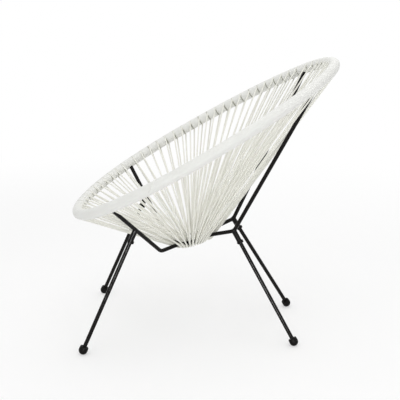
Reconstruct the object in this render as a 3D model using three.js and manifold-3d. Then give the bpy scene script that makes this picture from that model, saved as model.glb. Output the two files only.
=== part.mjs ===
// Acapulco chair: a corded bucket seat on a frame of bent steel rod, with four plug-in legs.
// Millimetres, +Z up. The chair faces -Y and +X is its left side, and both sides are alike.
// The origin is on the floor, under the middle of the chair's outline.
import * as THREE from 'three';
import { mergeVertices } from 'three/addons/utils/BufferGeometryUtils.js';
import Module from 'manifold-3d';

const wasm = await Module();
wasm.setup();

const degrees = Math.PI / 180;

// Left free between two pieces that touch on the real chair.
const fitGap = 0.3;
// How far a cutting shape runs past what it cuts.
const overrun = 5;

// Rim hoop: a round tube bent to an egg-shaped loop that lies in one tilted plane.
const hoopHalfLength = 443.5;
const hoopHalfWidth = 338;
const hoopCentreHeight = 607.7;
const hoopTilt = 30.6 * degrees;
const hoopTubeRadius = 10;
const hoopTubeWall = 1.5;
// The outline leaves a true ellipse by these shares of its width: wider in front, fuller at both ends.
const hoopFrontShare = 0.095;
const hoopEndShare = 0.091;
// Places on the hoop, as shares of the way round it from the front centre over the left side.
const frontArmShare = 0.1321;
const rearArmShare = 0.4204;

// Cord: the winding on the hoop, and the loops that run from it to the seat ring and back.
const cordRadius = 2;
const windingDepth = 5.7;
const creaseDepth = 1.1;
const frontCreasePitch = 32;
const sideCreasePitch = 33.5;
const backCreasePitch = 30;
// Where a loop leaves the rim and where it comes back, as shares of a crease's pitch.
const leavingShare = 0.44;
const returningShare = 0.56;

// Seat ring: a rod ring at the bottom of the seat, tilted back like the hoop but less.
const ringRadius = 51.5;
const ringRodRadius = 5.5;
const ringHeight = 288.3;
const ringForward = 31.5;
const ringTilt = 16.5 * degrees;

// Arms: rods with one bend each, from the hoop to the seat ring. A bend's place is its direction
// from the ring's centre in plan, its distance out, and its height over the ring.
const armRadius = 6;
const armBendRadius = 26;
const frontBendAzimuth = -43.3 * degrees;
const frontBendReach = 132.7;
const frontBendDrop = 16.3;
const rearBendAzimuth = 62.7 * degrees;
const rearBendReach = 145;
const rearBendRise = 42.5;
// Where the front leg joins its arm, as a share of the way from the hoop to the bend.
const frontSocketShare = 0.486;

// Legs, their sockets and their rubber feet.
const legRadius = 6;
const frontFootSpread = 247;
const frontFootForward = 342;
const rearFootSpread = 157.5;
const rearFootBack = 283.4;
const socketWall = 1.6;
const socketLength = 43;
const legTopRoom = 3;
const footRadius = 13.3;
const footFlat = 0.8;
const footBoreDepth = 15;
// The foot's side above its widest line, as shares of its radius: outwards, then upwards.
const footSideShares = [[0.99, 0.3], [0.96, 0.6], [0.9, 0.8], [0.8, 0.86]];

// Leg bolts: button heads with a hexagon recess. Each passes through its socket and its leg.
const boltRadius = 3;
const boltInset = 5;
const boltEnd = 1.8;
const boltHeadRadius = 4.8;
const boltHeadHeight = 3;
const boltKeyRadius = 2.3;
const boltKeyDepth = 1.8;
// The head's dome, as shares of its radius and of its height.
const boltDomeShares = [[1, 0.35], [0.84, 0.75], [0.56, 1]];

// How many layers the loops pass under the seat ring in, between one arm and the next.
const cordLayers = { front: 2, left: 2, back: 3, right: 2 };
// How many pieces the cord is modelled in, between one arm and the next.
const cordPieceCounts = { front: 6, left: 6, back: 4, right: 6 };

// Sides and steps of the faceted shapes.
const hoopSides = 8;
const hoopSteps = 40;
const windingSides = 8;
const ringSteps = 32;
const ringSides = 6;
const cordSides = 5;
const loopSteps = 3;
const armSides = 8;
const bendSteps = 4;
const roundSides = 12;
const footArcSteps = 3;
const keySides = 6;

// Finishes.
const blackPaint = { color: 0x1b1917, roughness: 0.42, metalness: 0.5 };
const bareSteel = { color: 0x8f8f8c, roughness: 0.5, metalness: 0.9 };
const blackBolt = { color: 0x151515, roughness: 0.35, metalness: 0.8 };
const whiteCord = { color: 0xe9e9e2, roughness: 0.45, metalness: 0 };
const blackRubber = { color: 0x121212, roughness: 0.8, metalness: 0 };

const chair = new THREE.Group();

function addPiece(parent, name, geometry, finish) {
  const piece = new THREE.Mesh(geometry, new THREE.MeshStandardMaterial(finish));
  piece.name = name;
  parent.add(piece);
  return piece;
}

// Joins rings of points into one closed skin. Each ring has as many points as the next, running
// counter-clockwise about the way ahead. An endless skin closes on its first ring, and any other
// gets a flat cap at each end.
function skin(rings, endless = false) {
  const count = rings[0].length;
  const index = [];
  const spans = endless ? rings.length : rings.length - 1;
  for (let ring = 0; ring < spans; ring++) {
    const here = ring * count;
    const ahead = ((ring + 1) % rings.length) * count;
    for (let side = 0; side < count; side++) {
      const next = (side + 1) % count;
      index.push(here + side, here + next, ahead + next);
      index.push(here + side, ahead + next, ahead + side);
    }
  }
  if (!endless) {
    const last = (rings.length - 1) * count;
    for (let side = 1; side < count - 1; side++) {
      index.push(0, side + 1, side);
      index.push(last, last + side, last + side + 1);
    }
  }
  const geometry = new THREE.BufferGeometry().setFromPoints(rings.flat());
  geometry.setIndex(index);
  geometry.computeVertexNormals();
  return geometry;
}

// One ring of points round a centre, turning from the first direction to the second.
function ringOfPoints(centre, first, second, radius, sides) {
  return Array.from({ length: sides }, (_, side) => {
    const angle = 2 * Math.PI * side / sides;
    return centre.clone()
      .addScaledVector(first, radius * Math.cos(angle))
      .addScaledVector(second, radius * Math.sin(angle));
  });
}

// A rod of constant section along a line of points, mitred at each of them.
function rod(points, radius, sides, across) {
  const ways = points.slice(1).map((point, at) => point.clone().sub(points[at]).normalize());
  const first = across.clone().addScaledVector(ways[0], -across.dot(ways[0])).normalize();
  const second = ways[0].clone().cross(first);
  let section = ringOfPoints(new THREE.Vector3(), first, second, radius, sides);
  const rings = points.map((point, at) => {
    if (at > 0 && at < ways.length) {
      const mitre = ways[at - 1].clone().add(ways[at]).normalize();
      const stretch = 1 / ways[at - 1].dot(mitre);
      for (const corner of section) corner.addScaledVector(ways[at - 1], -corner.dot(mitre) * stretch);
    }
    const ring = section.map((corner) => corner.clone().add(point));
    if (at < ways.length) {
      section = section.map((corner) => corner.clone().addScaledVector(ways[at], -corner.dot(ways[at])));
    }
    return ring;
  });
  return skin(rings);
}

// The centre line of a rod with one bend: straight, round an arc, and straight again.
function bentLine(start, corner, end) {
  const back = start.clone().sub(corner).normalize();
  const ahead = end.clone().sub(corner).normalize();
  const half = back.angleTo(ahead) / 2;
  const middle = back.clone().add(ahead).normalize();
  const centre = corner.clone().addScaledVector(middle, armBendRadius / Math.sin(half));
  const arm = corner.clone().addScaledVector(back, armBendRadius / Math.tan(half)).sub(centre);
  const axis = ahead.clone().cross(back).normalize();
  const arc = Array.from({ length: bendSteps + 1 }, (_, step) => {
    const turn = (Math.PI - 2 * half) * step / bendSteps;
    return arm.clone().applyAxisAngle(axis, turn).add(centre);
  });
  return [start, ...arc, end];
}

function toSolid(geometry) {
  const bare = geometry.clone();
  bare.deleteAttribute('normal');
  bare.deleteAttribute('uv');
  const merged = mergeVertices(bare);
  const vertProperties = new Float32Array(merged.attributes.position.array);
  const triVerts = new Uint32Array(merged.index.array);
  return new wasm.Manifold(new wasm.Mesh({ numProp: 3, vertProperties, triVerts }));
}

function fromSolid(solid) {
  const mesh = solid.getMesh();
  const result = new THREE.BufferGeometry();
  result.setAttribute('position', new THREE.BufferAttribute(mesh.vertProperties, 3));
  result.setIndex(new THREE.BufferAttribute(mesh.triVerts, 1));
  result.computeVertexNormals();
  return result;
}

// What is left of a shape once the cutting shapes are taken from it.
function cut(geometry, ...cutters) {
  return fromSolid(cutters.reduce((solid, cutter) => solid.subtract(toSolid(cutter)), toSolid(geometry)));
}

// Several shapes joined into one.
function join(...geometries) {
  return fromSolid(geometries.map(toSolid).reduce((solid, other) => solid.add(other)));
}

// The hoop's centre line, once round from the front centre over the left side.
class HoopLine extends THREE.Curve {
  getPoint(turn, target = new THREE.Vector3()) {
    const angle = 2 * Math.PI * turn;
    const along = -hoopHalfLength * Math.cos(angle);
    const fullness = 1 + hoopFrontShare * Math.cos(angle) + hoopEndShare * Math.cos(angle) ** 2;
    const across = hoopHalfWidth * Math.sin(angle) * fullness;
    return target.set(across, along * Math.cos(hoopTilt), hoopCentreHeight + along * Math.sin(hoopTilt));
  }
}

const hoopLine = new HoopLine();
hoopLine.arcLengthDivisions = 720;
const hoopLength = hoopLine.getLength();
const hoopNormal = new THREE.Vector3(0, -Math.sin(hoopTilt), Math.cos(hoopTilt));

function hoopPlace(distance) {
  const share = THREE.MathUtils.euclideanModulo(distance / hoopLength, 1);
  const centre = hoopLine.getPointAt(share);
  const tangent = hoopLine.getTangentAt(share);
  return { centre, tangent, out: tangent.clone().cross(hoopNormal) };
}

function hoopRing(distance, radius, sides) {
  const { centre, out } = hoopPlace(distance);
  return ringOfPoints(centre, hoopNormal, out, radius, sides);
}

// The seat ring's centre line, by the angle in its own plane from the left side towards the back.
const ringCentre = new THREE.Vector3(0, -ringForward, ringHeight);
const ringNormal = new THREE.Vector3(0, -Math.sin(ringTilt), Math.cos(ringTilt));
const ringAcross = new THREE.Vector3(1, 0, 0);
const ringBack = ringNormal.clone().cross(ringAcross);

function ringPlace(angle) {
  const out = ringAcross.clone().multiplyScalar(Math.cos(angle)).addScaledVector(ringBack, Math.sin(angle));
  return { out, centre: ringCentre.clone().addScaledVector(out, ringRadius) };
}

// Each arm's three places, for the left side or, with side -1, for the right. It meets the seat ring
// square to it, at the angle where its bend stands over the ring's plane, and ends inside the ring's rod.
function armPlaces(share, azimuth, reach, rise, side) {
  const offset = new THREE.Vector3(side * reach * Math.cos(azimuth), reach * Math.sin(azimuth), rise);
  const angle = Math.atan2(offset.dot(ringBack), offset.dot(ringAcross));
  const distance = side > 0 ? share * hoopLength : (1 - share) * hoopLength;
  const bend = ringCentre.clone().add(offset);
  const middle = ringPlace(angle).centre;
  return {
    angle: side < 0 && angle < 0 ? angle + 2 * Math.PI : angle,
    distance,
    top: hoopPlace(distance).centre,
    bend,
    weld: bend.clone().sub(middle).setLength(ringRodRadius / 2).add(middle),
  };
}

const arms = {};
for (const [hand, side] of [['left', 1], ['right', -1]]) {
  arms[`front_${hand}`] = armPlaces(frontArmShare, frontBendAzimuth, frontBendReach, -frontBendDrop, side);
  arms[`rear_${hand}`] = armPlaces(rearArmShare, rearBendAzimuth, rearBendReach, rearBendRise, side);
}

// The winding stops beside each arm. The arm leans along the hoop as it leaves it, so the middle of
// the bare stretch lies where the arm passes through the winding's depth.
const windingBore = hoopTubeRadius + fitGap / Math.cos(Math.PI / hoopSides);
const windingRadius = windingBore + windingDepth;

for (const arm of Object.values(arms)) {
  const { tangent } = hoopPlace(arm.distance);
  const way = arm.bend.clone().sub(arm.top).normalize();
  const lean = way.dot(tangent) / Math.sqrt(1 - way.dot(tangent) ** 2);
  const slant = Math.abs(lean) * windingDepth / 2;
  arm.bareMiddle = arm.distance + lean * (windingBore + windingRadius) / 2;
  arm.bareHalf = armRadius * Math.sqrt(1 + lean ** 2) + slant + 2 * fitGap;
}

// The four stretches between the arms, on the hoop and on the seat ring. Loops are as many as the
// creases on the rim call for. They pass under the ring in layers, and there are no more than lie side
// by side within it.
const stepLean = Math.cos(Math.PI / (2 * loopSteps));
const cordRoom = 2 * cordRadius + fitGap;
const loopBend = (ringRodRadius + cordRadius + fitGap) / stepLean;
const layerRise = cordRoom / stepLean;
const sideRoom = armRadius + cordRadius + 7 * fitGap;

function stretch(name, creasePitch, from, to, turns) {
  const start = from.bareMiddle + from.bareHalf - turns * hoopLength;
  const end = to.bareMiddle - to.bareHalf;
  const room = Math.asin(sideRoom / ringRadius);
  const first = from.angle - turns * 2 * Math.PI + room;
  const last = to.angle - room;
  const layers = cordLayers[name];
  const innerRadius = ringRadius - loopBend - (layers - 1) * layerRise;
  const most = layers * (1 + Math.floor((last - first) * innerRadius / cordRoom));
  const loops = Math.min(Math.round((end - start) / creasePitch), most);
  return { name, start, end, first, last, loops, layers, places: Math.ceil(loops / layers) };
}

const stretches = [
  stretch('front', frontCreasePitch, arms.front_right, arms.front_left, 1),
  stretch('left', sideCreasePitch, arms.front_left, arms.rear_left, 0),
  stretch('back', backCreasePitch, arms.rear_left, arms.rear_right, 0),
  stretch('right', sideCreasePitch, arms.rear_right, arms.front_right, 0),
];

// Rim hoop: a tube bent round once, with the seam of its butt weld at the back.
const seam = hoopLength / 2;
const hoopSpans = Array.from({ length: hoopSteps + 1 }, (_, step) => seam + hoopLength * step / hoopSteps);
hoopSpans[0] += fitGap / 2;
hoopSpans[hoopSteps] -= fitGap / 2;
const outerRings = hoopSpans.map((distance) => hoopRing(distance, hoopTubeRadius, hoopSides));
const boreRings = hoopSpans.map((distance) => hoopRing(distance, hoopTubeRadius - hoopTubeWall, hoopSides));
addPiece(chair, 'rim_hoop', skin([...outerRings, ...boreRings.reverse()], true), bareSteel);

// What a piece must leave free for the hoop.
const hoopRoom = skin(Array.from({ length: hoopSteps },
  (_, step) => hoopRing(seam + hoopLength * step / hoopSteps, windingBore, hoopSides)), true);

// Seat ring.
function seatRing(radius) {
  return skin(Array.from({ length: ringSteps }, (_, step) => {
    const { centre, out } = ringPlace(2 * Math.PI * step / ringSteps);
    return ringOfPoints(centre, ringNormal, out, radius, ringSides);
  }), true);
}

addPiece(chair, 'seat_ring', seatRing(ringRodRadius), blackPaint);

// Cord. It is wound round the hoop. Each loop leaves the rim's outer side, and comes back to its inner
// side close beside, where it draws the winding in to a crease. So the seat is two layers of cord.
function rimDistance(part, turns) {
  return part.start + (part.end - part.start) * turns / part.loops;
}

// Where a run lies on the hoop, on the rim's inner side or, with side -1, on its outer side, sunk
// between the winding's turns.
function rimEnd(distance, ringPoint, side) {
  const { centre, tangent } = hoopPlace(distance);
  const run = ringPoint.clone().sub(centre);
  return tangent.clone().cross(run).setLength(side * (windingBore + cordRadius)).add(centre);
}

// One loop: from the rim down the outer side, round under the seat ring, and back up to the rim.
function cordLoop(part, loop) {
  const share = part.places > 1 ? Math.floor(loop / part.layers) / (part.places - 1) : 1 / 2;
  const { centre, out } = ringPlace(part.first + (part.last - part.first) * share);
  const bend = loopBend + (loop % part.layers) * layerRise;
  const leaving = rimDistance(part, loop + leavingShare);
  const returning = rimDistance(part, loop + returningShare);
  const up = hoopPlace((leaving + returning) / 2).centre.sub(centre);
  const rise = Math.atan2(up.dot(ringNormal), up.dot(out));
  const turn = Array.from({ length: loopSteps + 1 }, (_, step) => {
    const angle = rise - Math.PI / 2 - Math.PI * step / loopSteps;
    return centre.clone()
      .addScaledVector(out, bend * Math.cos(angle))
      .addScaledVector(ringNormal, bend * Math.sin(angle));
  });
  const start = rimEnd(leaving, turn[0], -1);
  const end = rimEnd(returning, turn[loopSteps], 1);
  return rod([start, ...turn, end], cordRadius, cordSides, out.clone().cross(ringNormal));
}

// One stretch of cord: some loops, and the winding between them.
function cordPiece(part, firstLoop, endLoop) {
  const end = rimDistance(part, endLoop) - fitGap;
  const rings = [hoopRing(rimDistance(part, firstLoop), windingRadius, windingSides)];
  const loops = [];
  for (let loop = firstLoop; loop < endLoop; loop++) {
    const crease = rimDistance(part, loop + returningShare);
    rings.push(hoopRing(crease, windingRadius - creaseDepth, windingSides));
    rings.push(hoopRing(Math.min(rimDistance(part, loop + 1), end), windingRadius, windingSides));
    loops.push(cordLoop(part, loop));
  }
  return cut(join(skin(rings), ...loops), hoopRoom);
}

for (const part of stretches) {
  const count = cordPieceCounts[part.name];
  for (let piece = 0; piece < count; piece++) {
    const firstLoop = Math.round(part.loops * piece / count);
    const endLoop = Math.round(part.loops * (piece + 1) / count);
    addPiece(chair, `seat_cord_${part.name}_${piece + 1}`, cordPiece(part, firstLoop, endLoop), whiteCord);
  }
}

// Arms, with their ends shaped to the hoop and to the seat ring.
function armRod(arm, room) {
  const line = bentLine(arm.top, arm.bend, arm.weld);
  const across = arm.top.clone().sub(arm.bend).cross(arm.weld.clone().sub(arm.bend));
  return rod(line, armRadius + room, armSides, across);
}

const ringRoom = seatRing(ringRodRadius + fitGap / Math.cos(Math.PI / ringSides));

for (const [name, arm] of Object.entries(arms)) {
  addPiece(chair, `arm_${name}`, cut(armRod(arm, 0), hoopRoom, ringRoom), blackPaint);
}

// Legs. Each has a group of its own that stands at the foot's centre, with Z up the leg to the arm
// and Y towards the back, where the bolt's head is.
const footHeight = footRadius - footFlat;
const feet = {};
for (const [hand, side] of [['left', 1], ['right', -1]]) {
  feet[`front_${hand}`] = new THREE.Vector3(side * frontFootSpread, -frontFootForward, footHeight);
  feet[`rear_${hand}`] = new THREE.Vector3(side * rearFootSpread, rearFootBack, footHeight);
}

function legGroup(foot, joint) {
  const up = joint.clone().sub(foot).normalize();
  const back = new THREE.Vector3(0, 1, 0);
  back.addScaledVector(up, -back.dot(up)).normalize();
  const group = new THREE.Group();
  group.position.copy(foot);
  group.quaternion.setFromRotationMatrix(new THREE.Matrix4().makeBasis(back.clone().cross(up), back, up));
  group.updateMatrixWorld();
  return group;
}

// A round bar along local Z, and one along local Y, between two places on its axis.
function barUp(radius, low, high) {
  const bar = new THREE.CylinderGeometry(radius, radius, high - low, roundSides);
  return bar.rotateX(Math.PI / 2).translate(0, 0, (low + high) / 2);
}

function barBack(radius, near, far, height) {
  const bar = new THREE.CylinderGeometry(radius, radius, far - near, roundSides);
  return bar.translate(0, (near + far) / 2, height);
}

function footShape(group) {
  const lower = Array.from({ length: footArcSteps }, (_, step) => {
    const angle = Math.PI / 2 * (step / footArcSteps - 1);
    return new THREE.Vector2(footRadius * Math.cos(angle), footRadius * Math.sin(angle));
  });
  lower[0].x = 0;
  const side = [[1, 0], ...footSideShares].map(([out, up]) => [footRadius * out, footRadius * up]);
  const top = side[side.length - 1][1];
  const bore = legRadius + fitGap;
  const inside = [[bore, top], [bore, top - footBoreDepth], [0, top - footBoreDepth]];
  const profile = [...lower, ...[...side, ...inside].map(([out, up]) => new THREE.Vector2(out, up))];
  const body = new THREE.LatheGeometry(profile, roundSides).rotateX(Math.PI / 2);
  const floor = new THREE.BoxGeometry(4 * footRadius, 4 * footRadius, 2 * footRadius);
  floor.translate(group.position.x, group.position.y, -footRadius);
  floor.applyMatrix4(group.matrixWorld.clone().invert());
  return cut(body, floor);
}

function boltShape(socketRadius) {
  const tip = -(socketRadius + boltEnd);
  const base = socketRadius + fitGap;
  const dome = boltDomeShares.map(([out, up]) => [boltHeadRadius * out, base + boltHeadHeight * up]);
  const outline = [[0, tip], [boltRadius, tip], [boltRadius, base], [boltHeadRadius, base], ...dome,
    [0, base + boltHeadHeight]];
  const body = new THREE.LatheGeometry(outline.map(([out, up]) => new THREE.Vector2(out, up)), roundSides);
  const key = new THREE.CylinderGeometry(boltKeyRadius, boltKeyRadius, boltKeyDepth + overrun, keySides);
  key.translate(0, base + boltHeadHeight + (overrun - boltKeyDepth) / 2, 0);
  return cut(body, key);
}

for (const [name, arm] of Object.entries(arms)) {
  const isFront = name.startsWith('front');
  const joint = isFront ? arm.top.clone().lerp(arm.bend, frontSocketShare) : arm.bend;
  const group = legGroup(feet[name], joint);
  chair.add(group);
  const length = joint.distanceTo(feet[name]);
  const socketRadius = legRadius + fitGap + socketWall;
  const boltHeight = length - socketLength + boltInset;
  const boltReach = socketRadius + overrun;
  const boltRoom = barBack(boltRadius + fitGap, -boltReach, boltReach, boltHeight);
  const armRoom = armRod(arm, fitGap / Math.cos(Math.PI / armSides));
  armRoom.applyMatrix4(group.matrixWorld.clone().invert());

  const socket = cut(
    barUp(socketRadius, length - socketLength, length),
    barUp(legRadius + fitGap, length - socketLength - overrun, length + overrun),
    boltRoom,
    armRoom,
  );
  addPiece(group, `leg_socket_${name}`, socket, blackPaint);

  const legBottom = footRadius * footSideShares[footSideShares.length - 1][1] - footBoreDepth + fitGap;
  const leg = cut(
    barUp(legRadius, legBottom, length - armRadius - legTopRoom),
    boltRoom,
  );
  addPiece(group, `leg_${name}`, leg, blackPaint);

  addPiece(group, `leg_bolt_${name}`, boltShape(socketRadius), blackBolt).position.z = boltHeight;
  addPiece(group, `foot_${name}`, footShape(group), blackRubber);
}

export default chair;
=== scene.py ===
"""Acapulco chair: white cord strung from a tilted hoop to a small ring, on a frame of bent black rod.

Metres, +Z up. The chair faces -Y and +X is its own left side, which the camera sees.
"""
import math

import bpy
import numpy as np
from mathutils import Matrix


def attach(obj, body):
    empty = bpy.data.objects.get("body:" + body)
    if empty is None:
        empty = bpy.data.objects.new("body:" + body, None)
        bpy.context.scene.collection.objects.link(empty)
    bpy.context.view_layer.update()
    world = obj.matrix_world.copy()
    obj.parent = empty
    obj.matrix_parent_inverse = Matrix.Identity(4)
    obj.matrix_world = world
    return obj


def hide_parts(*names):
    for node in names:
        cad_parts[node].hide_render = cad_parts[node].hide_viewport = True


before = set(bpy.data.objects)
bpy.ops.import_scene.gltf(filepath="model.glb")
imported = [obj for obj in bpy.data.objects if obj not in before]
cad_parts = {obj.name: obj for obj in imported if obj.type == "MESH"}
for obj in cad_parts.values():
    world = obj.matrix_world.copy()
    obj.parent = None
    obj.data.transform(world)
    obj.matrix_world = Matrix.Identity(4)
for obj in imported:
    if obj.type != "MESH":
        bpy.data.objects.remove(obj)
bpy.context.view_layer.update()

# Camera. It stands off the chair's left side, above the seat, and looks a little down on it, at the
# angle and with the lens of the photograph.
eye = (2.643, 0.044, 1.128)
pitch = math.radians(15.23)
yaw = math.radians(1.13)
roll = math.radians(0.64)
focal_length_in_pixels = 888
picture_width_in_pixels = 400

forward = np.array([-math.cos(yaw) * math.cos(pitch), -math.sin(yaw) * math.cos(pitch), -math.sin(pitch)])
level = np.cross(forward, [0, 0, 1])
level /= np.linalg.norm(level)
above = np.cross(level, forward)
right = math.cos(roll) * level + math.sin(roll) * above
up = math.cos(roll) * above - math.sin(roll) * level

camera_data = bpy.data.cameras.new("camera")
camera_data.lens = camera_data.sensor_width * focal_length_in_pixels / picture_width_in_pixels
camera = bpy.data.objects.new("camera", camera_data)
camera.matrix_world = Matrix([[right[row], up[row], -forward[row], eye[row]] for row in range(3)]
                             + [[0, 0, 0, 1]])
bpy.context.scene.collection.objects.link(camera)
bpy.context.scene.camera = camera

# Rim hoop: a round steel tube bent to an egg-shaped loop in one tilted plane, and butt-welded at the
# back. The winding covers it all round, so its solid stays as it is, in bare steel.
hoop_half_length = 0.4435
hoop_half_width = 0.338
hoop_centre_height = 0.6077
hoop_tilt = math.radians(30.6)
hoop_tube_radius = 0.010
hoop_front_share = 0.095
hoop_end_share = 0.091
hoop_samples = 5760
bare_steel = (0.42, 0.41, 0.40, 1)
bare_steel_dull = (0.30, 0.29, 0.28, 1)

hoop_normal = np.array([0, -math.sin(hoop_tilt), math.cos(hoop_tilt)])
turn = np.linspace(0, 2 * np.pi, hoop_samples + 1)
along = -hoop_half_length * np.cos(turn)
fullness = 1 + hoop_front_share * np.cos(turn) + hoop_end_share * np.cos(turn) ** 2
hoop_points = np.stack([
    hoop_half_width * np.sin(turn) * fullness,
    along * math.cos(hoop_tilt),
    hoop_centre_height + along * math.sin(hoop_tilt),
], axis=1)
hoop_steps = np.linalg.norm(np.diff(hoop_points, axis=0), axis=1)
hoop_distances = np.concatenate([[0], np.cumsum(hoop_steps)])
hoop_length = hoop_distances[-1]


def hoop_at(distance):
    """The hoop's centre line by the distance along it: the place, the way ahead, and the way outwards.

    The line is an ellipse in the tilted plane. Its width is multiplied by 1 + front share * cos + end
    share * cos squared of the angle from the front. The distance runs from the front over the left side.
    """
    angle = np.interp(np.mod(distance, hoop_length), hoop_distances, turn)
    fullness = 1 + hoop_front_share * np.cos(angle) + hoop_end_share * np.cos(angle) ** 2
    filling = -hoop_front_share * np.sin(angle) - 2 * hoop_end_share * np.cos(angle) * np.sin(angle)
    across = hoop_half_width * np.sin(angle) * fullness
    along = -hoop_half_length * np.cos(angle)
    centre = np.stack([across, along * math.cos(hoop_tilt),
                       hoop_centre_height + along * math.sin(hoop_tilt)], axis=-1)
    widening = hoop_half_width * (np.cos(angle) * fullness + np.sin(angle) * filling)
    lengthening = hoop_half_length * np.sin(angle)
    way = np.stack([widening, lengthening * math.cos(hoop_tilt),
                    lengthening * math.sin(hoop_tilt)], axis=-1)
    way /= np.linalg.norm(way, axis=-1, keepdims=True)
    return centre, way, np.cross(way, hoop_normal)


def new_finish(name):
    """A new material, its nodes, its shader, and the object coordinates for its patterns."""
    material = bpy.data.materials.new(name)
    material.use_nodes = True
    tree = material.node_tree
    place = tree.nodes.new("ShaderNodeTexCoord").outputs["Object"]
    return material, tree, tree.nodes["Principled BSDF"], place


def clouds(tree, place, scale, detail=3):
    """Soft noise from 0 to 1 over the object, with so many features in a metre."""
    noise = tree.nodes.new("ShaderNodeTexNoise")
    noise.inputs["Scale"].default_value = scale
    noise.inputs["Detail"].default_value = detail
    tree.links.new(place, noise.inputs["Vector"])
    return noise.outputs["Fac"]


def between(tree, amount, low, high, socket):
    """Feeds a socket with a number between low and high, by an amount that mostly lies from 0.3 to 0.7."""
    spread = tree.nodes.new("ShaderNodeMapRange")
    spread.inputs["From Min"].default_value = 0.3
    spread.inputs["From Max"].default_value = 0.7
    spread.inputs["To Min"].default_value = low
    spread.inputs["To Max"].default_value = high
    tree.links.new(amount, spread.inputs["Value"])
    tree.links.new(spread.outputs["Result"], socket)


def blended(tree, amount, first, second, socket):
    """Feeds a socket with a mix of two colours; either may also be the output of another node."""
    mix = tree.nodes.new("ShaderNodeMix")
    mix.data_type = "RGBA"
    tree.links.new(amount, mix.inputs["Factor"])
    for colour, end in ((first, mix.inputs[6]), (second, mix.inputs[7])):
        if isinstance(colour, tuple):
            end.default_value = colour
        else:
            tree.links.new(colour, end)
    if socket is not None:
        tree.links.new(mix.outputs[2], socket)
    return mix.outputs[2]


def roughened(tree, shader, height, depth, strength):
    """Presses a pattern into the surface: its height from 0 to 1 stands for so many metres."""
    bump = tree.nodes.new("ShaderNodeBump")
    bump.inputs["Distance"].default_value = depth
    bump.inputs["Strength"].default_value = strength
    tree.links.new(height, bump.inputs["Height"])
    tree.links.new(bump.outputs["Normal"], shader.inputs["Normal"])


drawn_steel, tree, shader, place = new_finish("drawn_steel")
shader.inputs["Metallic"].default_value = 1
blended(tree, clouds(tree, place, 60), bare_steel, bare_steel_dull, shader.inputs["Base Color"])
between(tree, clouds(tree, place, 250), 0.35, 0.6, shader.inputs["Roughness"])

hoop_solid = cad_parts["rim_hoop"]
hoop_solid.data.materials.clear()
hoop_solid.data.materials.append(drawn_steel)

# Seat ring: a ring of thinner black rod at the bottom of the seat, which every loop of cord passes
# under. It is bent round and butt-welded, then powder-coated with the rest of the frame.
ring_radius = 0.0515
ring_rod_radius = 0.0055
ring_rod_sides = 16
ring_steps = 120
ring_centre = np.array([0, -0.0315, 0.2883])
ring_tilt = math.radians(16.5)
coat_black = (0.0058, 0.0050, 0.0046, 1)
coat_black_worn = (0.0098, 0.0088, 0.0082, 1)

ring_normal = np.array([0, -math.sin(ring_tilt), math.cos(ring_tilt)])
ring_across = np.array([1.0, 0, 0])
ring_back = np.cross(ring_normal, ring_across)


def ring_at(angle):
    """The seat ring's centre line: a circle in its tilted plane, by the angle from the left side to the
    back. Gives the place and the way outwards."""
    out = np.cos(angle)[..., None] * ring_across + np.sin(angle)[..., None] * ring_back
    return ring_centre + ring_radius * out, out


def tube_rings(path, across, radius, around, closed=False):
    """Rings of points round a path, as for rod and cord: path + radius * (cos * side + sin * other).

    side is the given direction made square to the path, and other is square to both. The path may be
    many paths at once; its last two axes are the points and their coordinates.
    """
    if closed:
        way = np.roll(path, -1, axis=-2) - np.roll(path, 1, axis=-2)
    else:
        way = np.gradient(path, axis=-2)
    way = way / np.linalg.norm(way, axis=-1, keepdims=True)
    side = across - (across * way).sum(axis=-1, keepdims=True) * way
    side = side / np.linalg.norm(side, axis=-1, keepdims=True)
    other = np.cross(way, side)
    angle = np.linspace(0, 2 * np.pi, around, endpoint=False)[:, None]
    spokes = np.cos(angle) * side[..., None, :] + np.sin(angle) * other[..., None, :]
    return path[..., None, :] + np.asarray(radius)[..., None, None] * spokes


def closed_piece(name, rings, material, endless=False, crisp=40):
    """A mesh of closed skins, from an array of skins, rings, points in a ring, and coordinates.

    Each ring is joined to the next by four-sided faces. An endless skin goes on from its last ring to
    its first, and any other is closed by a fan of triangles at each end. The points of a ring run
    counter-clockwise about the way ahead, so the faces point outwards. Edges over the crisp angle, in
    degrees, stay sharp.
    """
    rings = rings.reshape((-1,) + rings.shape[-3:])
    skins, length, around = rings.shape[:3]
    corner = np.arange(skins * length * around).reshape(skins, length, around)
    here, ahead = (corner, np.roll(corner, -1, axis=1)) if endless else (corner[:, :-1], corner[:, 1:])
    four = np.stack([here, np.roll(here, -1, axis=2), np.roll(ahead, -1, axis=2), ahead], axis=-1)
    points = rings.reshape(-1, 3)
    faces = four.reshape(-1, 4).tolist()
    if not endless:
        ends = rings[:, [0, -1]].mean(axis=2)
        middle = len(points) + np.arange(skins * 2).reshape(skins, 2, 1)
        first = corner[:, 0]
        last = corner[:, -1]
        first_middle = np.broadcast_to(middle[:, 0], first.shape)
        last_middle = np.broadcast_to(middle[:, 1], last.shape)
        first_fan = np.stack([first_middle, np.roll(first, -1, axis=1), first], axis=-1)
        last_fan = np.stack([last_middle, last, np.roll(last, -1, axis=1)], axis=-1)
        faces += first_fan.reshape(-1, 3).tolist() + last_fan.reshape(-1, 3).tolist()
        points = np.concatenate([points, ends.reshape(-1, 3)])
    mesh = bpy.data.meshes.new(name)
    mesh.from_pydata(points.tolist(), [], faces)
    mesh.shade_smooth()
    mesh.set_sharp_from_angle(angle=math.radians(crisp))
    mesh.materials.append(material)
    piece = bpy.data.objects.new(name, mesh)
    bpy.context.scene.collection.objects.link(piece)
    return piece


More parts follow.
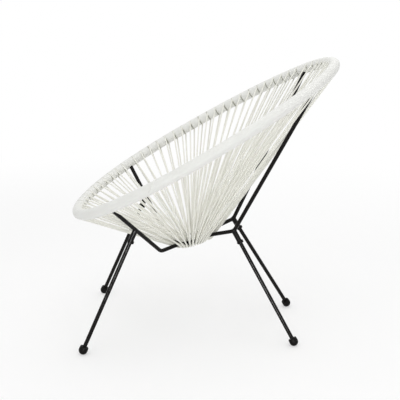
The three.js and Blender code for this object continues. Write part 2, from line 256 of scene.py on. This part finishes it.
powder_coat, tree, shader, place = new_finish("black_powder_coat")
blended(tree, clouds(tree, place, 45), coat_black, coat_black_worn, shader.inputs["Base Color"])
shader.inputs["Specular IOR Level"].default_value = 0.10
between(tree, clouds(tree, place, 120, 4), 0.10, 0.18, shader.inputs["Roughness"])
roughened(tree, shader, clouds(tree, place, 900, 2), 0.0001, 0.2)

ring_angles = np.linspace(0, 2 * np.pi, ring_steps, endpoint=False)
ring_line = ring_at(ring_angles)[0]
ring_rings = tube_rings(ring_line, ring_normal, ring_rod_radius, ring_rod_sides, closed=True)
seat_ring = closed_piece("ring_rod", ring_rings, powder_coat, endless=True)
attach(seat_ring, "root")
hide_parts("seat_ring")

# Arms: four solid rods with one cold bend each, that carry the hoop on the seat ring. Each is welded to
# the hoop inside the winding, and end on to the seat ring, where a bead of weld shows from below.
arm_radius = 0.006
arm_bend_radius = 0.026
arm_sides = 24
arm_bend_steps = 16
arm_top_steps = 24
arm_low_steps = 8
front_arm_share = 0.1321
rear_arm_share = 0.4204
front_bend_azimuth = math.radians(-43.3)
front_bend_reach = 0.1327
front_bend_rise = -0.0163
rear_bend_azimuth = math.radians(62.7)
rear_bend_reach = 0.145
rear_bend_rise = 0.0425
ring_bead_radius = 0.0017
ring_bead_reach = 0.0022
ring_bead_ripples = 9
ring_bead_ripple_share = 0.16
ring_bead_steps = 48
bead_sides = 10


def unit(vector):
    """The same direction, one metre long."""
    return vector / np.linalg.norm(vector)


def bent_line(start, corner, end):
    """The centre line of a rod with one bend: straight, round a circle's arc that touches both straights,
    and straight again."""
    back = unit(start - corner)
    ahead = unit(end - corner)
    half = math.acos(float(back @ ahead)) / 2
    centre = corner + unit(back + ahead) * arm_bend_radius / math.sin(half)
    arc_start = corner + back * arm_bend_radius / math.tan(half)
    swing = np.linspace(0, np.pi - 2 * half, arm_bend_steps + 1)[:, None]
    arc = centre + np.cos(swing) * (arc_start - centre) - arm_bend_radius * np.sin(swing) * back
    first = start + (arc[0] - start) * np.linspace(0, 1, arm_top_steps, endpoint=False)[:, None]
    last = end + (arc[-1] - end) * np.linspace(1, 0, arm_low_steps + 1)[1:, None]
    return np.concatenate([first, arc, last])


arms = {}
for hand, side in (("left", 1), ("right", -1)):
    for end, share, azimuth, reach, rise in (
        ("front", front_arm_share, front_bend_azimuth, front_bend_reach, front_bend_rise),
        ("rear", rear_arm_share, rear_bend_azimuth, rear_bend_reach, rear_bend_rise),
    ):
        offset = np.array([side * reach * math.cos(azimuth), reach * math.sin(azimuth), rise])
        angle = math.atan2(offset @ ring_back, offset @ ring_across)
        distance = share * hoop_length if side > 0 else (1 - share) * hoop_length
        top = hoop_at(distance)[0]
        bend = ring_centre + offset
        ring_middle = ring_at(np.array(angle))[0]
        from_ring = unit(bend - ring_middle)
        weld = ring_middle + from_ring * ring_rod_radius / 2
        line = bent_line(top, bend, weld)
        plane = unit(np.cross(top - bend, weld - bend))
        arms[f"{end}_{hand}"] = {
            "distance": distance, "top": top, "bend": bend, "line": line,
            "angle": angle + 2 * np.pi if side < 0 and angle < 0 else angle,
        }
        rod_rings = tube_rings(line, plane, arm_radius, arm_sides)
        rod = closed_piece(f"arm_rod_{end}_{hand}", rod_rings, powder_coat)
        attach(rod, "root")
        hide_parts(f"arm_{end}_{hand}")

        bead_turn = np.linspace(0, 2 * np.pi, ring_bead_steps, endpoint=False)[:, None]
        along_ring = np.cross(ring_normal, ring_middle - ring_centre) / ring_radius
        over_ring = np.cross(from_ring, along_ring)
        off_rod = arm_radius * np.sin(bead_turn)
        reach = np.sqrt(np.maximum(ring_rod_radius ** 2 - off_rod ** 2, ring_bead_reach ** 2))
        bead_line = (ring_middle + reach * from_ring + arm_radius * np.cos(bead_turn) * along_ring
                     + off_rod * over_ring)
        waves = np.sin(ring_bead_ripples * bead_turn[:, 0])
        ripple = ring_bead_radius * (1 + ring_bead_ripple_share * waves)
        bead_rings = tube_rings(bead_line, -from_ring, ripple, bead_sides, closed=True)
        bead = closed_piece(f"ring_weld_{end}_{hand}", bead_rings, powder_coat, endless=True)
        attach(bead, "root")

# Legs: four straight solid rods with a small chamfer at the ends. Each plugs into a socket on its arm,
# so that the chair packs flat, and stands in a rubber foot. Its finish is the frame's.
leg_radius = 0.006
leg_chamfer = 0.0008
leg_top_room = 0.003
leg_sides = 28
leg_ring_shares = np.linspace(0.03, 0.97, 24)
front_foot_spread = 0.247
front_foot_forward = 0.342
rear_foot_spread = 0.1575
rear_foot_back = 0.2834
foot_radius = 0.0133
foot_top_share = 0.86
foot_flat = 0.0008
foot_bore_depth = 0.015
front_socket_share = 0.486
fit_gap = 0.0003

foot_top = foot_top_share * foot_radius
legs = {}
for name, arm in arms.items():
    side = 1 if name.endswith("left") else -1
    if name.startswith("front"):
        foot = np.array([side * front_foot_spread, -front_foot_forward, foot_radius - foot_flat])
        joint = arm["top"] + (arm["bend"] - arm["top"]) * front_socket_share
    else:
        foot = np.array([side * rear_foot_spread, rear_foot_back, foot_radius - foot_flat])
        joint = arm["bend"]
    leg_up = unit(joint - foot)
    leg_back = unit(np.array([0, 1, 0]) - leg_up[1] * leg_up)
    legs[name] = {"foot": foot, "length": np.linalg.norm(joint - foot),
                  "axes": np.stack([np.cross(leg_back, leg_up), leg_back, leg_up])}


def on_leg(leg, points):
    """Points given along a leg's own axes, from its foot's centre, in the chair's frame: across, towards
    the back, and up the leg."""
    return leg["foot"] + points @ leg["axes"]


def turned_rings(profile, around):
    """Rings of a turned shape about a leg's axis, from a profile of (radius, height) pairs."""
    angle = np.linspace(0, 2 * np.pi, around, endpoint=False)
    radius, height = np.array(profile).T
    return np.stack([radius[:, None] * np.cos(angle), radius[:, None] * np.sin(angle),
                     np.broadcast_to(height[:, None], (len(height), around))], axis=-1)


for name, leg in legs.items():
    low = foot_top - foot_bore_depth + fit_gap
    high = leg["length"] - arm_radius - leg_top_room
    profile = [(leg_radius - leg_chamfer, low), (leg_radius, low + leg_chamfer),
               *[(leg_radius, low + (high - low) * share) for share in leg_ring_shares],
               (leg_radius, high - leg_chamfer), (leg_radius - leg_chamfer, high)]
    rod = closed_piece(f"leg_rod_{name}", on_leg(leg, turned_rings(profile, leg_sides)), powder_coat)
    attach(rod, "root")
    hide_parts(f"leg_{name}")

# Leg sockets: four short lengths of steel tube, one end cut to the arm's round and welded to it with a
# rippled bead. A bolt goes in through the back of each, near its mouth.
socket_wall = 0.0016
socket_length = 0.043
socket_chamfer = 0.0005
socket_around = 48
socket_bead_radius = 0.0013
socket_bead_ripples = 11
socket_bead_ripple_share = 0.14
cope_search_below = 0.016
cope_search_above = 0.001
cope_search_steps = 120
cope_line_steps = 900
socket_ring_shares = (0.3, 0.6, 0.85, 1)

socket_radius = leg_radius + fit_gap + socket_wall


def coped_height(leg, arm, radius):
    """How far up a leg's axis each line of a socket's round wall runs before it enters the arm's rod: the
    first height at which it is nearer to the rod's centre line than the rod's radius less the fit gap."""
    angle = np.linspace(0, 2 * np.pi, socket_around, endpoint=False)
    height = np.linspace(leg["length"] - cope_search_below, leg["length"] + cope_search_above,
                         cope_search_steps)
    wall = np.stack(np.broadcast_arrays(radius * np.cos(angle)[:, None], radius * np.sin(angle)[:, None],
                                        height[None, :]), axis=-1)
    steps = np.linalg.norm(np.diff(arm["line"], axis=0), axis=1)
    reach = np.concatenate([[0], np.cumsum(steps)])
    fine = np.linspace(0, reach[-1], cope_line_steps)
    line = np.stack([np.interp(fine, reach, arm["line"][:, axis]) for axis in range(3)], axis=1)
    gap = np.linalg.norm(on_leg(leg, wall)[:, :, None, :] - line[None, None], axis=-1).min(axis=2)
    inside = gap < arm_radius - fit_gap
    first = np.where(inside.any(axis=1), inside.argmax(axis=1), len(height) - 1)
    return height[first]


for name, leg in legs.items():
    arm = arms[name]
    angle = np.linspace(0, 2 * np.pi, socket_around, endpoint=False)
    mouth = leg["length"] - socket_length
    bore = leg_radius + fit_gap
    outer_top = coped_height(leg, arm, socket_radius)
    inner_top = coped_height(leg, arm, bore)
    low = np.full(socket_around, mouth)
    wall = [(socket_radius - socket_chamfer, low), (socket_radius, low + socket_chamfer)]
    wall += [(socket_radius, low + (outer_top - low) * share) for share in socket_ring_shares]
    wall += [(bore, inner_top), (bore, low + socket_chamfer), (bore + socket_chamfer, low)]
    rings = np.stack([np.stack([radius * np.cos(angle), radius * np.sin(angle), height], axis=-1)
                      for radius, height in wall])
    socket = closed_piece(f"socket_tube_{name}", on_leg(leg, rings), powder_coat, endless=True)
    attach(socket, "root")
    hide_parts(f"leg_socket_{name}")

    seam = np.stack([socket_radius * np.cos(angle), socket_radius * np.sin(angle), outer_top], axis=-1)
    smooth_seam = (np.roll(seam, 1, axis=0) + 2 * seam + np.roll(seam, -1, axis=0)) / 4
    ripple = socket_bead_radius * (1 + socket_bead_ripple_share * np.sin(socket_bead_ripples * angle))
    bead_rings = tube_rings(smooth_seam, np.array([0, 0, 1.0]), ripple, bead_sides, closed=True)
    bead = closed_piece(f"socket_weld_{name}", on_leg(leg, bead_rings), powder_coat, endless=True)
    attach(bead, "root")

# Leg bolts: black steel button heads with a hexagon recess, at the sockets' mouths. Each passes through
# its socket and its leg, and its chamfered end shows in front.
bolt_radius = 0.003
bolt_inset = 0.005
bolt_end = 0.0018
bolt_head_radius = 0.0048
bolt_head_height = 0.003
bolt_key_radius = 0.0023
bolt_key_depth = 0.0018
bolt_edge_height = 0.0008
bolt_chamfer = 0.0004
bolt_head_chamfer = 0.0003
bolt_key_chamfer = 0.0001
bolt_key_chamfer_share = 0.02
bolt_around = 48
bolt_dome_steps = 8
bolt_black = (0.013, 0.013, 0.014, 1)
bolt_black_worn = (0.030, 0.029, 0.028, 1)

blacked_steel, tree, shader, place = new_finish("blacked_steel")
shader.inputs["Metallic"].default_value = 0.7
blended(tree, clouds(tree, place, 300), bolt_black, bolt_black_worn, shader.inputs["Base Color"])
between(tree, clouds(tree, place, 700), 0.26, 0.40, shader.inputs["Roughness"])

for name, leg in legs.items():
    angle = np.linspace(0, 2 * np.pi, bolt_around, endpoint=False)
    sixth = np.pi / 3
    hexagon = bolt_key_radius * math.cos(sixth / 2) / np.cos(np.mod(angle, sixth) - sixth / 2)
    dome = np.linspace(0, np.pi / 2, bolt_dome_steps + 1)
    dome_radius = bolt_key_radius + (bolt_head_radius - bolt_key_radius) * np.cos(dome)
    dome_height = bolt_edge_height + (bolt_head_height - bolt_edge_height) * np.sin(dome)
    round_outline = [(bolt_radius - bolt_chamfer, -socket_radius - bolt_end),
                     (bolt_radius, -socket_radius - bolt_end + bolt_chamfer),
                     (bolt_radius, socket_radius),
                     (bolt_head_radius - bolt_head_chamfer, socket_radius),
                     (bolt_head_radius, socket_radius + bolt_head_chamfer),
                     *zip(dome_radius[:-1], socket_radius + dome_height[:-1])]
    outline = [(np.full(bolt_around, radius), height) for radius, height in round_outline]
    key_top = socket_radius + bolt_head_height
    outline += [(hexagon * (1 + bolt_key_chamfer_share), key_top),
                (hexagon * (1 - bolt_key_chamfer_share), key_top - bolt_key_chamfer),
                (hexagon * (1 - bolt_key_chamfer_share), key_top - bolt_key_depth)]
    rings = np.stack([np.stack([radius * np.sin(angle), np.full(bolt_around, height),
                                radius * np.cos(angle)], axis=-1) for radius, height in outline])
    rings[..., 2] += leg["length"] - socket_length + bolt_inset
    bolt = closed_piece(f"bolt_head_{name}", on_leg(leg, rings), blacked_steel, crisp=30)
    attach(bolt, "root")
    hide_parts(f"leg_bolt_{name}")

# Feet: moulded black rubber cups with a round bottom, a flat top and a blind bore, pushed on to the legs'
# ends. Each is pressed a little flat where it stands on the floor.
rubber_black = (0.0062, 0.0058, 0.0055, 1)
rubber_worn = (0.0120, 0.0115, 0.0108, 1)
foot_lip = 0.0009
foot_side_lean = 0.055
foot_edge_radius = 0.0016
foot_pole_radius = 0.0002
foot_sides = 48
foot_round_steps = 16
foot_side_steps = 8
foot_edge_steps = 5
foot_lip_step_share = 0.3

moulded_rubber, tree, shader, place = new_finish("moulded_rubber")
blended(tree, clouds(tree, place, 150, 4), rubber_black, rubber_worn, shader.inputs["Base Color"])
shader.inputs["Specular IOR Level"].default_value = 0.05
between(tree, clouds(tree, place, 400), 0.32, 0.46, shader.inputs["Roughness"])
roughened(tree, shader, clouds(tree, place, 1300, 3), 0.0002, 0.4)

for name, leg in legs.items():
    arc = np.linspace(-np.pi / 2, 0, foot_round_steps + 1)[1:]
    profile = [(foot_pole_radius, -foot_radius)]
    profile += [(foot_radius * math.cos(a), foot_radius * math.sin(a)) for a in arc]
    side_top = foot_top - foot_edge_radius
    profile += [(foot_radius * (1 - foot_side_lean * share ** 2), side_top * share)
                for share in np.linspace(0, 1, foot_side_steps + 1)[1:]]
    edge = np.linspace(0, np.pi / 2, foot_edge_steps + 1)[1:]
    edge_middle = foot_radius * (1 - foot_side_lean) - foot_edge_radius
    profile += [(edge_middle + foot_edge_radius * math.cos(a), side_top + foot_edge_radius * math.sin(a))
                for a in edge]
    bore = leg_radius + fit_gap
    lip_step = foot_lip_step_share * foot_lip
    profile += [(bore + foot_lip, foot_top), (bore + lip_step, foot_top - lip_step),
                (bore, foot_top - foot_lip), (bore, foot_top - foot_bore_depth),
                (foot_pole_radius, foot_top - foot_bore_depth)]
    points = on_leg(leg, turned_rings(profile, foot_sides))
    points[..., 2] = np.maximum(points[..., 2], 0)
    foot = closed_piece(f"rubber_foot_{name}", points, moulded_rubber, crisp=50)
    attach(foot, "root")
    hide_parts(f"foot_{name}")

# Cord winding: white plastic cord, wound turn against turn right round the hoop and over the arms' ends.
# Where each loop of seat cord comes back to the rim, the turns are drawn in to a crease on the inner side.
cord_radius = 0.0023
cord_pitch = 0.0049
solid_cord_radius = 0.002
winding_depth = 0.0057
crease_pitches = {"front": 0.032, "left": 0.0335, "back": 0.030, "right": 0.0335}
cord_layers = {"front": 2, "left": 2, "back": 3, "right": 2}
leaving_share = 0.44
returning_share = 0.56
rib_depth = 0.0007
crease_depth = 0.0026
crease_width = 0.0019
crease_offset = 0.0005
cord_white = (0.825, 0.827, 0.803, 1)
cord_cream = (0.775, 0.777, 0.745, 1)
# The colour that the creases are painted towards, as painted shade in the furrows.
cord_shade = (0.30, 0.30, 0.24, 1)
hoop_sides = 8
loop_steps = 3
loop_side_gaps = 7
winding_sides = 30
rings_in_a_turn = 7
rib_roundness = 0.96
crease_side = math.radians(270)
crease_fade_from = -0.25
crease_fade_length = 0.6

winding_bore = hoop_tube_radius + fit_gap / math.cos(math.pi / hoop_sides)
winding_radius = winding_bore + winding_depth
for arm in arms.values():
    way_along = hoop_at(arm["distance"])[1]
    lean = unit(arm["bend"] - arm["top"]) @ way_along
    lean /= math.sqrt(1 - lean ** 2)
    slant = abs(lean) * winding_depth / 2
    arm["bare_middle"] = arm["distance"] + lean * (winding_bore + winding_radius) / 2
    arm["bare_half"] = arm_radius * math.sqrt(1 + lean ** 2) + slant + 2 * fit_gap

step_lean = math.cos(math.pi / (2 * loop_steps))
cord_room = 2 * solid_cord_radius + fit_gap
loop_bend = (ring_rod_radius + solid_cord_radius + fit_gap) / step_lean
side_room = arm_radius + solid_cord_radius + loop_side_gaps * fit_gap


def stretch(name, first_arm, last_arm, turns):
    """The loops between two arms: where each leaves the hoop and comes back, and where it passes under
    the seat ring. They are as many as the creases on the rim call for. They pass under the ring in layers,
    and there are no more than lie side by side within it."""
    start = first_arm["bare_middle"] + first_arm["bare_half"] - turns * hoop_length
    end = last_arm["bare_middle"] - last_arm["bare_half"]
    room = math.asin(side_room / ring_radius)
    first = first_arm["angle"] - turns * 2 * np.pi + room
    last = last_arm["angle"] - room
    layers = cord_layers[name]
    inner_radius = ring_radius - loop_bend - (layers - 1) * cord_room / step_lean
    most = layers * (1 + int((last - first) * inner_radius / cord_room))
    loops = min(round((end - start) / crease_pitches[name]), most)
    order = np.arange(loops)
    return {
        "name": name, "loops": loops,
        "from": first_arm["distance"] - turns * hoop_length, "to": last_arm["distance"],
        "outer": start + (end - start) * (order + leaving_share) / loops,
        "inner": start + (end - start) * (order + returning_share) / loops,
        "angle": first + (last - first) * (order // layers) / (math.ceil(loops / layers) - 1),
        "layer": order % layers,
    }


stretches = [
    stretch("front", arms["front_right"], arms["front_left"], 1),
    stretch("left", arms["front_left"], arms["rear_left"], 0),
    stretch("back", arms["rear_left"], arms["rear_right"], 0),
    stretch("right", arms["rear_right"], arms["front_right"], 0),
]

wound_cord, tree, shader, place = new_finish("white_cord")
# Painted shade: the deeper a crease presses in, the more the cord's colour darkens towards cord_shade.
furrow = tree.nodes.new("ShaderNodeAttribute")
furrow.attribute_name = "furrow"
plain = blended(tree, clouds(tree, place, 30, 2), cord_white, cord_cream, None)
blended(tree, furrow.outputs["Fac"], plain, cord_shade, shader.inputs["Base Color"])
shader.inputs["Specular IOR Level"].default_value = 0.2
between(tree, clouds(tree, place, 90), 0.38, 0.50, shader.inputs["Roughness"])
roughened(tree, shader, clouds(tree, place, 700, 2), 0.0001, 0.15)


def furrows(distance, angle, places):
    """How deep the creases press into the winding: beside each place a narrow dip, an exponential of minus
    the square of the distance from its middle, which fades out towards the rim's outer side."""
    off = distance[..., None] - places - crease_offset
    open_side = np.clip((np.cos(angle - crease_side) - crease_fade_from) / crease_fade_length, 0, 1)
    open_side = open_side * open_side * (3 - 2 * open_side)
    return crease_depth * open_side * np.exp(-(off / crease_width) ** 2).sum(axis=-1)


for part in stretches:
    turns = (part["to"] - part["from"]) / cord_pitch
    distance, angle = np.meshgrid(np.linspace(part["from"], part["to"], round(rings_in_a_turn * turns)),
                                  np.linspace(0, 2 * np.pi, winding_sides, endpoint=False), indexing="ij")
    phase = np.mod(distance / cord_pitch + angle / (2 * np.pi), 1)
    rib = rib_depth * (1 - np.sqrt(1 - rib_roundness * (2 * phase - 1) ** 2))
    deep = furrows(distance, angle, part["inner"])
    radius = winding_radius - rib - deep
    centre, _, out = hoop_at(distance)
    spokes = np.cos(angle)[..., None] * hoop_normal + np.sin(angle)[..., None] * out
    winding = closed_piece(f"rim_winding_{part['name']}", centre + radius[..., None] * spokes, wound_cord,
                           crisp=80)
    # The painted shade in each crease follows the crease's depth.
    shade = np.concatenate([(deep / crease_depth).ravel(), [0, 0]])
    marks = winding.data.attributes.new("furrow", "FLOAT", "POINT")
    marks.data.foreach_set("value", np.clip(shade, 0, 1).astype(np.float32))
    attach(winding, "root")

# Splice: on the left side a new length of cord starts. Its end crosses over the turns at a slant, and is
# tucked in among them at both ends.
splice_from = 0.509
splice_to = 0.470
splice_first_angle = math.radians(-25)
splice_last_angle = math.radians(125)
splice_height = 0.0002
splice_tuck = 0.004
splice_tuck_power = 8
splice_steps = 60
splice_sides = 16

share = np.linspace(0, 1, splice_steps + 1)
distance = splice_from + (splice_to - splice_from) * share
angle = splice_first_angle + (splice_last_angle - splice_first_angle) * share
centre, _, out = hoop_at(distance)
spokes = np.cos(angle)[:, None] * hoop_normal + np.sin(angle)[:, None] * out
height = winding_radius + splice_height - splice_tuck * np.abs(2 * share - 1) ** splice_tuck_power
splice_rings = tube_rings(centre + height[:, None] * spokes, spokes, cord_radius, splice_sides)
splice = closed_piece("rim_splice_left", splice_rings, wound_cord, crisp=80)
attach(splice, "root")

# Seat cords: the same cord, drawn tight. Each loop comes off the rim's outer side, runs down to the seat
# ring, passes round under it, and runs back up to the rim's inner side, where it draws the winding in.
solid_cords = {"front": 6, "left": 6, "back": 4, "right": 6}
wrap_back = math.radians(70)
wrap_tuck = 0.0004
wrap_sinking = 0.0022
wrap_steps = 8
under_room = 0.0004
under_jitter = 0.006
leaving_jitter = 0.0008
returning_jitter = 0.0012
under_steps = 9
run_points = 8
strung_cord_sides = 10
# Painted light: the strung cord is the same cord as the winding, but its colours are set lighter and
# warmer.
strung_white_lit = (0.875, 0.872, 0.815, 1)
strung_cream_lit = (0.825, 0.820, 0.755, 1)

wrap_radius = winding_radius - cord_radius - wrap_tuck
hand_of_the_stringer = np.random.default_rng(7)

# The lighter colour stands in for the light the thin runs catch; the noise between the two is a random
# tone.
strung_cord, tree, shader, place = new_finish("strung_cord_lit_white")
blended(tree, clouds(tree, place, 12, 2), strung_white_lit, strung_cream_lit, shader.inputs["Base Color"])
shader.inputs["Specular IOR Level"].default_value = 0.2
between(tree, clouds(tree, place, 20), 0.42, 0.54, shader.inputs["Roughness"])
roughened(tree, shader, clouds(tree, place, 260, 2), 0.0001, 0.1)


def rim_wrap(distances, ring_places, side):
    """Where a run meets the rim, on its inner side or, with side -1, on its outer side. The cord lies
    round the hoop for a short arc, which sinks into the winding by the square of the way back along it,
    and leaves in a straight line that touches the arc and goes to its place at the seat ring."""
    centre, way, _ = hoop_at(distances)
    run = ring_places - centre
    across = run - (run * way).sum(axis=1, keepdims=True) * way
    down = across / np.linalg.norm(across, axis=1, keepdims=True)
    beside = side * np.cross(way, down)
    swing = np.linspace(-wrap_back, 0, wrap_steps + 1)[None, :, None]
    radius = wrap_radius - wrap_sinking * (swing / wrap_back) ** 2
    return centre[:, None] + radius * (np.cos(swing) * beside[:, None] + np.sin(swing) * down[:, None])


for part in stretches:
    jitter = hand_of_the_stringer.normal(0, 1, (3, part["loops"]))
    centre, out = ring_at(part["angle"] + under_jitter * jitter[0])
    bend = ring_rod_radius + under_room + cord_radius * (1 + 2 * part["layer"])
    outer = part["outer"] + leaving_jitter * jitter[1]
    inner = part["inner"] + returning_jitter * jitter[2]
    rim_middle = hoop_at((outer + inner) / 2)[0]
    rise = np.arctan2((rim_middle - centre) @ ring_normal, ((rim_middle - centre) * out).sum(axis=1))
    sweep = rise[:, None] - np.pi / 2 - np.linspace(0, np.pi, under_steps)
    under = (centre[:, None] + (bend[:, None] * np.cos(sweep))[..., None] * out[:, None]
             + (bend[:, None] * np.sin(sweep))[..., None] * ring_normal)
    start = rim_wrap(outer, under[:, 0], -1)
    end = rim_wrap(inner, under[:, -1], 1)[:, ::-1]
    shares = np.linspace(0, 1, run_points + 2)[1:-1, None]
    down = start[:, -1:] + (under[:, :1] - start[:, -1:]) * shares
    back = under[:, -1:] + (end[:, :1] - under[:, -1:]) * shares
    path = np.concatenate([start, down, under, back, end], axis=1)
    across = np.cross(out, ring_normal)[:, None]
    rings = tube_rings(path, across, cord_radius, strung_cord_sides)
    count = solid_cords[part["name"]]
    edges = [int(math.floor(part["loops"] * piece / count + 0.5)) for piece in range(count + 1)]
    for piece in range(count):
        cords = closed_piece(f"strung_cord_{part['name']}_{piece + 1}",
                             rings[edges[piece]:edges[piece + 1]], strung_cord, crisp=80)
        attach(cords, "root")
        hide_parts(f"seat_cord_{part['name']}_{piece + 1}")

# Floor: a plain pale studio floor that runs out to white, and keeps the chair's soft shadow.
floor_white = (0.97, 0.97, 0.97, 1)
floor_half = 60
fade_from = 1.0
fade_to = 2.6
glow_near = 0.42

floor_mesh = bpy.data.meshes.new("floor")
floor_mesh.from_pydata([(-floor_half, -floor_half, 0), (floor_half, -floor_half, 0),
                        (floor_half, floor_half, 0), (-floor_half, floor_half, 0)], [], [(0, 1, 2, 3)])
floor = bpy.data.objects.new("floor", floor_mesh)
bpy.context.scene.collection.objects.link(floor)

studio_floor, tree, shader, place = new_finish("studio_floor")
shader.inputs["Base Color"].default_value = floor_white
shader.inputs["Roughness"].default_value = 0.9
shader.inputs["Specular IOR Level"].default_value = 0.1
length = tree.nodes.new("ShaderNodeVectorMath")
length.operation = "LENGTH"
tree.links.new(place, length.inputs[0])
fade = tree.nodes.new("ShaderNodeMapRange")
fade.interpolation_type = "SMOOTHSTEP"
fade.inputs["From Min"].default_value = fade_from
fade.inputs["From Max"].default_value = fade_to
fade.inputs["To Min"].default_value = glow_near
tree.links.new(length.outputs["Value"], fade.inputs["Value"])
ray = tree.nodes.new("ShaderNodeLightPath")
seen = tree.nodes.new("ShaderNodeMath")
seen.operation = "MAXIMUM"
tree.links.new(ray.outputs["Is Camera Ray"], seen.inputs[0])
tree.links.new(ray.outputs["Is Glossy Ray"], seen.inputs[1])
amount = tree.nodes.new("ShaderNodeMath")
amount.operation = "MULTIPLY"
tree.links.new(seen.outputs["Value"], amount.inputs[0])
tree.links.new(fade.outputs["Result"], amount.inputs[1])
glow = tree.nodes.new("ShaderNodeEmission")
glow.inputs["Color"].default_value = (1, 1, 1, 1)
mixed = tree.nodes.new("ShaderNodeMixShader")
tree.links.new(amount.outputs["Value"], mixed.inputs["Fac"])
tree.links.new(shader.outputs["BSDF"], mixed.inputs[1])
tree.links.new(glow.outputs["Emission"], mixed.inputs[2])
tree.links.new(mixed.outputs["Shader"], tree.nodes["Material Output"].inputs["Surface"])
floor_mesh.materials.append(studio_floor)

# Studio light: an even pale surround, a broad soft light from above, a weaker one on the camera's side, and
# fills from behind and beside. Two small panels by the camera only draw thin highlights down the rods.
surround = 0.67


def soft_panel(name, place, aim, size, watts):
    """A rectangular lamp at a place, turned to face its aim."""
    data = bpy.data.lights.new(name, "AREA")
    data.shape = "RECTANGLE"
    data.size, data.size_y = size
    data.energy = watts
    lamp = bpy.data.objects.new(name, data)
    back = unit(np.array(place) - np.array(aim))
    aside = unit(np.cross([0, 0, 1], back))
    over = np.cross(back, aside)
    lamp.matrix_world = Matrix([[aside[row], over[row], back[row], place[row]] for row in range(3)]
                               + [[0, 0, 0, 1]])
    bpy.context.scene.collection.objects.link(lamp)
    return lamp


seat_middle = (0.0, 0.0, 0.45)
soft_panel("key_panel", (2.2, -1.2, 2.9), seat_middle, (2.4, 2.0), 16)
soft_panel("top_panel", (-0.3, 0.3, 3.4), seat_middle, (3.0, 3.0), 27)
soft_panel("back_panel", (-2.6, 0.9, 1.9), seat_middle, (2.0, 2.0), 8)
soft_panel("side_panel", (2.6, 0.9, 0.9), seat_middle, (0.25, 1.8), 9)
for name, place, size, watts in (("rod_panel", (2.6, 0.9, 0.9), (0.2, 1.8), 30),
                                 ("leg_panel", (2.6, -0.3, 0.25), (0.3, 0.5), 36)):
    shine = soft_panel(name, place, seat_middle, size, watts)
    shine.visible_diffuse = False

world = bpy.data.worlds.new("surround")
world.use_nodes = True
tree = world.node_tree
ray = tree.nodes.new("ShaderNodeLightPath")
plainly_seen = ray.outputs["Is Camera Ray"]
for kind in ("Is Glossy Ray", "Is Transmission Ray"):
    either = tree.nodes.new("ShaderNodeMath")
    either.operation = "MAXIMUM"
    tree.links.new(plainly_seen, either.inputs[0])
    tree.links.new(ray.outputs[kind], either.inputs[1])
    plainly_seen = either.outputs["Value"]
strength = tree.nodes.new("ShaderNodeMapRange")
strength.inputs["To Min"].default_value = surround
tree.links.new(plainly_seen, strength.inputs["Value"])
tree.links.new(strength.outputs["Result"], tree.nodes["Background"].inputs["Strength"])
tree.nodes["Background"].inputs["Color"].default_value = (1, 1, 1, 1)
bpy.context.scene.world = world
bpy.context.scene.view_settings.view_transform = "Standard"
